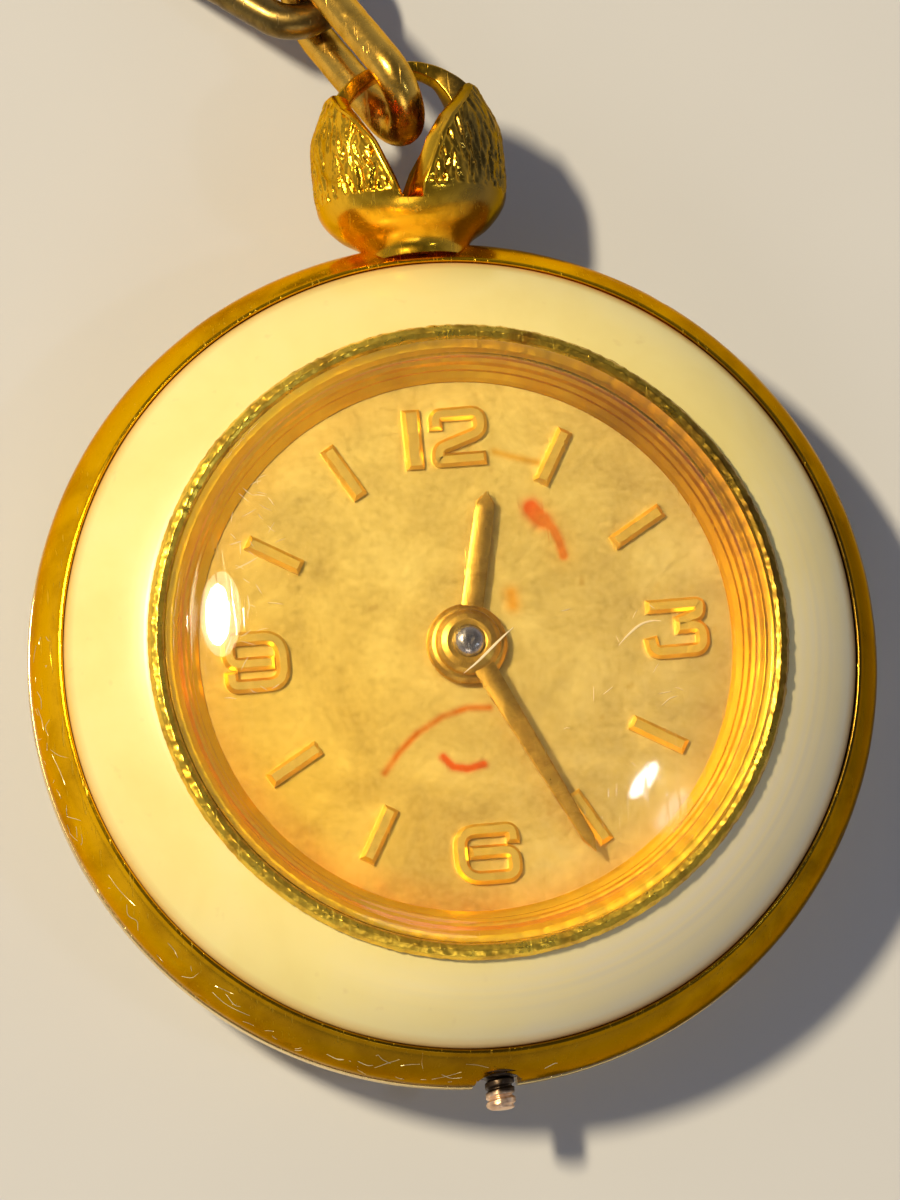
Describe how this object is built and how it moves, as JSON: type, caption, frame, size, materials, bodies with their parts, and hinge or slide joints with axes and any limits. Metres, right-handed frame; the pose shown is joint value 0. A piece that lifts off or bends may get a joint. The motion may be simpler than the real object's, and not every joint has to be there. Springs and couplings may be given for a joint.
{
  "type": "fob watch",
  "caption": "Pendant fob watch: round domed case, wide enamel ring, domed crystal over a dial with hands, hand-wound lever movement, tulip bow and two chain links.",
  "frame": {"origin": "centre of the small resting flat in the middle of the case back", "axes": "+Z out through the dial, +Y towards 12 o'clock and the bow, -Y along the winding stem at 6 o'clock, +X towards 3 o'clock"},
  "size_m": [0.0264, 0.0402, 0.0099],
  "materials": {
    "gilt_case": "polished gold plate, worn",
    "gilt_bezel": "worn milled gold plate",
    "gilt_bow": "bark-textured gold plate, polished edges",
    "gilt_chain": "worn gold plate",
    "enamel": "glossy cream enamel",
    "acrylic": "clear polished, finely scratched",
    "dial_face": "champagne, satin, stained",
    "gilt_marks": "polished",
    "gilt_hands": "polished, aged",
    "hand_cap": "burnished",
    "rehaut": "polished reflector",
    "movement_brass": "gilt",
    "bridge_plate": "nickel-plated, fine-grained",
    "polished_steel": "polished",
    "blued_spring": "blued",
    "spring_steel": "plain",
    "balance_alloy": "polished gilt alloy",
    "ruby": "polished ruby",
    "stem_steel": "worn, coppery"
  },
  "bodies": {
    "case": {"case_middle": "gilt_case", "enamel_ring": "enamel", "inner_bezel": "gilt_bezel", "crystal": "acrylic", "rehaut_ring": "rehaut", "stem_tube": "gilt_case", "movement_ring": "movement_brass", "case_clamps": "polished_steel", "case_clamp_screws": "polished_steel", "bow": "gilt_bow", "bow_post": "gilt_bow", "dial": "dial_face", "hour_batons": "gilt_marks", "dial_numerals": "gilt_marks", "main_plate": "bridge_plate", "barrel_bridge": "bridge_plate", "train_bridge": "bridge_plate", "pallet_bridge": "bridge_plate", "balance_cock": "bridge_plate", "jewels": "ruby", "bridge_screws": "polished_steel", "crown_wheel_core": "polished_steel", "click_spring": "spring_steel", "wheel_posts": "polished_steel", "keyless_cover": "polished_steel", "keyless_screws": "polished_steel", "yoke_spring": "spring_steel", "hairspring": "blued_spring"},
    "back": {"case_back": "gilt_case"},
    "link_1": {"chain_link_1": "gilt_chain"},
    "link_2": {"chain_link_2": "gilt_chain"},
    "minutes": {"cannon_pinion": "polished_steel", "minute_hand": "gilt_hands", "hand_cap": "hand_cap"},
    "minute_gear": {"minute_wheel": "movement_brass"},
    "hours": {"hour_wheel": "movement_brass", "hour_hand": "gilt_hands"},
    "setting_gear": {"setting_wheel": "polished_steel"},
    "fourth": {"fourth_wheel": "movement_brass"},
    "third": {"third_wheel": "movement_brass"},
    "centre": {"centre_arbor": "polished_steel", "centre_wheel": "movement_brass"},
    "barrel": {"barrel_drum": "movement_brass", "barrel_cover": "movement_brass", "mainspring": "spring_steel"},
    "escape": {"escape_wheel": "polished_steel"},
    "pallet": {"pallet_fork": "polished_steel"},
    "balance": {"balance_wheel": "balance_alloy", "balance_staff": "polished_steel"},
    "index": {"regulator": "polished_steel"},
    "winder": {"winding_pinion": "polished_steel"},
    "stem": {"winding_stem": "stem_steel"},
    "clutch": {"clutch_wheel": "polished_steel"},
    "crown_gear": {"crown_wheel": "polished_steel"},
    "ratchet": {"ratchet_wheel": "polished_steel", "ratchet_screw": "polished_steel", "barrel_arbor": "polished_steel"},
    "pawl": {"click": "polished_steel"},
    "lever": {"setting_lever": "polished_steel"},
    "yoke_arm": {"yoke": "polished_steel"}
  },
  "joints": [
    {"name": "back_snap_off", "type": "slide", "parent": "case", "child": "back", "axis": [0, 0, -1], "range_m": [0, 0.012]},
    {"name": "link_1_swing", "type": "hinge", "parent": "case", "child": "link_1", "pos_m": [0.00003, 0.01701, 0.00499], "axis": [0, 0, 1], "range_deg": [-56, 6]},
    {"name": "link_2_swing", "type": "hinge", "parent": "link_1", "child": "link_2", "pos_m": [-0.0027, 0.02208, 0.00243], "axis": [0, 0, 1], "range_deg": [-35, 20]},
    {"name": "minute_hand_turn", "type": "hinge", "parent": "case", "child": "minutes", "pos_m": [0, 0, 0.0062], "axis": [0, 0, 1], "continuous": true},
    {"name": "minute_wheel_turn", "type": "hinge", "parent": "case", "child": "minute_gear", "pos_m": [0, -0.0016, 0.0055], "axis": [0, 0, 1], "continuous": true},
    {"name": "hour_hand_turn", "type": "hinge", "parent": "case", "child": "hours", "pos_m": [0, 0, 0.0062], "axis": [0, 0, 1], "continuous": true},
    {"name": "setting_wheel_turn", "type": "hinge", "parent": "case", "child": "setting_gear", "pos_m": [0.0002, -0.00368, 0.005], "axis": [0, 0, 1], "continuous": true},
    {"name": "fourth_wheel_turn", "type": "hinge", "parent": "case", "child": "fourth", "pos_m": [0.00362, 0.00088, 0.004], "axis": [0, 0, 1], "continuous": true},
    {"name": "third_wheel_turn", "type": "hinge", "parent": "case", "child": "third", "pos_m": [0.00245, -0.00114, 0.0037], "axis": [0, 0, 1], "continuous": true},
    {"name": "centre_wheel_turn", "type": "hinge", "parent": "case", "child": "centre", "pos_m": [0, 0, 0.004], "axis": [0, 0, 1], "continuous": true},
    {"name": "barrel_turn", "type": "hinge", "parent": "case", "child": "barrel", "pos_m": [-0.00339, -0.00158, 0.004], "axis": [0, 0, 1], "continuous": true},
    {"name": "escape_wheel_turn", "type": "hinge", "parent": "case", "child": "escape", "pos_m": [0.004, 0.00305, 0.004], "axis": [0, 0, 1], "continuous": true},
    {"name": "pallet_fork_rock", "type": "hinge", "parent": "case", "child": "pallet", "pos_m": [0.00263, 0.00392, 0.0038], "axis": [0, 0, 1], "range_deg": [-5.5, 5.5]},
    {"name": "balance_swing", "type": "hinge", "parent": "case", "child": "balance", "pos_m": [0.0002, 0.00545, 0.0033], "axis": [0, 0, 1], "range_deg": [-270, 270], "deforming": ["hairspring"]},
    {"name": "regulator_turn", "type": "hinge", "parent": "case", "child": "index", "pos_m": [0.0002, 0.00545, 0.0023], "axis": [0, 0, 1], "range_deg": [-14, 14]},
    {"name": "winding_turn", "type": "hinge", "parent": "case", "child": "winder", "pos_m": [0, -0.007, 0.004], "axis": [0, -1, 0], "continuous": true},
    {"name": "crown_wheel_turn", "type": "hinge", "parent": "case", "child": "crown_gear", "pos_m": [0, -0.0049, 0.0025], "axis": [0, 0, 1], "continuous": true},
    {"name": "ratchet_turn", "type": "hinge", "parent": "case", "child": "ratchet", "pos_m": [-0.00339, -0.00158, 0.0025], "axis": [0, 0, 1], "continuous": true},
    {"name": "click_lift", "type": "hinge", "parent": "case", "child": "pawl", "pos_m": [-0.00675, -0.0022, 0.0025], "axis": [0, 0, 1], "range_deg": [0, 14]},
    {"name": "stem_pull", "type": "slide", "parent": "winder", "child": "stem", "axis": [0, -1, 0], "range_m": [0, 0.0006]},
    {"name": "clutch_shift", "type": "slide", "parent": "winder", "child": "clutch", "axis": [0, 1, 0], "range_m": [0, 0.0005]},
    {"name": "setting_lever_turn", "type": "hinge", "parent": "case", "child": "lever", "pos_m": [0.00225, -0.00775, 0.005], "axis": [0, 0, 1], "range_deg": [0, 21]},
    {"name": "yoke_turn", "type": "hinge", "parent": "case", "child": "yoke_arm", "pos_m": [-0.0027, -0.0055, 0.005], "axis": [0, 0, 1], "range_deg": [0, 15]}
  ],
  "couplings": [
    {"joint": "minute_wheel_turn", "follows": "minute_hand_turn", "ratio": -0.33333},
    {"joint": "hour_hand_turn", "follows": "minute_hand_turn", "ratio": 0.083333},
    {"joint": "setting_wheel_turn", "follows": "minute_hand_turn", "ratio": 0.44444},
    {"joint": "third_wheel_turn", "follows": "fourth_wheel_turn", "ratio": -0.13333},
    {"joint": "centre_wheel_turn", "follows": "fourth_wheel_turn", "ratio": 0.016667},
    {"joint": "barrel_turn", "follows": "fourth_wheel_turn", "ratio": -0.0021368},
    {"joint": "escape_wheel_turn", "follows": "fourth_wheel_turn", "ratio": -10},
    {"joint": "crown_wheel_turn", "follows": "winding_turn", "ratio": 0.55556},
    {"joint": "ratchet_turn", "follows": "winding_turn", "ratio": -0.4},
    {"joint": "clutch_shift", "follows": "stem_pull", "ratio": 0.83333},
    {"joint": "setting_lever_turn", "follows": "stem_pull", "rad_per_m": 570},
    {"joint": "yoke_turn", "follows": "stem_pull", "rad_per_m": 396.67}
  ]
}
